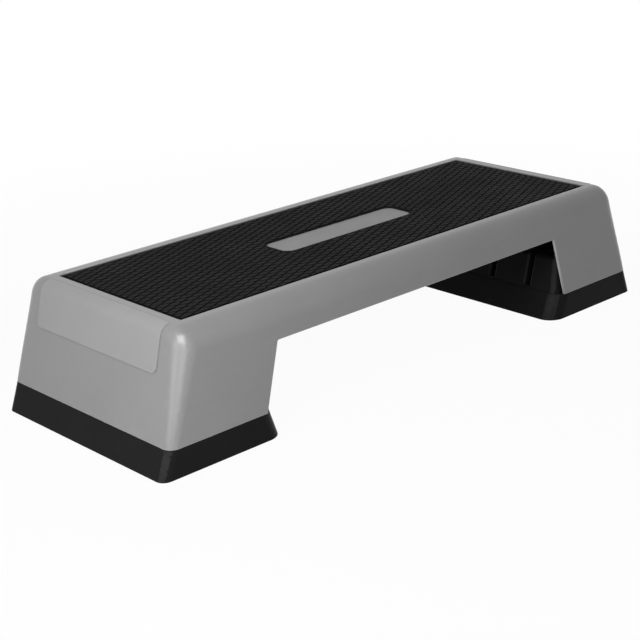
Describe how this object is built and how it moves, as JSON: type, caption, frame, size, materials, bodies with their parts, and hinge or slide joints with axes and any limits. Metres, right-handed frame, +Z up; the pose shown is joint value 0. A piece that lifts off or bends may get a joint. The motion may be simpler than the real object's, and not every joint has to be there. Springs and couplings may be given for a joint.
{
  "type": "aerobic step platform",
  "caption": "Long low exercise step: a moulded deck with a rubber tread and an arch between hollow legs, standing on flared feet that pull off downwards to change its height.",
  "frame": {"origin": "middle of the footprint, on the floor below the pads", "axes": "+X along the deck, +Y across it towards the rear, +Z up"},
  "size_m": [1.026, 0.378, 0.2],
  "materials": {
    "deck_plastic": "satin mould texture",
    "tread_rubber": "matte with a lozenge tread",
    "foot_plastic": "satin mould texture",
    "floor_rubber": "matte",
    "screw_steel": "zinc plated"
  },
  "bodies": {
    "deck": {"deck_shell": "deck_plastic", "tread_mat": "tread_rubber", "centre_badge": "deck_plastic", "left_end_panel": "deck_plastic", "right_end_panel": "deck_plastic"},
    "left_foot": {"left_foot_base": "foot_plastic", "left_foot_riser": "foot_plastic", "left_riser_screws": "screw_steel", "left_pad_screws": "screw_steel", "left_front_inner_pad": "floor_rubber", "left_front_outer_pad": "floor_rubber", "left_rear_inner_pad": "floor_rubber", "left_rear_outer_pad": "floor_rubber"},
    "right_foot": {"right_foot_base": "foot_plastic", "right_foot_riser": "foot_plastic", "right_riser_screws": "screw_steel", "right_pad_screws": "screw_steel", "right_front_inner_pad": "floor_rubber", "right_front_outer_pad": "floor_rubber", "right_rear_inner_pad": "floor_rubber", "right_rear_outer_pad": "floor_rubber"}
  },
  "joints": [
    {"name": "deck_lift", "type": "slide", "parent": "left_foot", "child": "deck", "axis": [0, 0, 1], "range_m": [0, 0.07]},
    {"name": "right_foot_pull", "type": "slide", "parent": "deck", "child": "right_foot", "axis": [0, 0, -1], "range_m": [0, 0.07]}
  ]
}
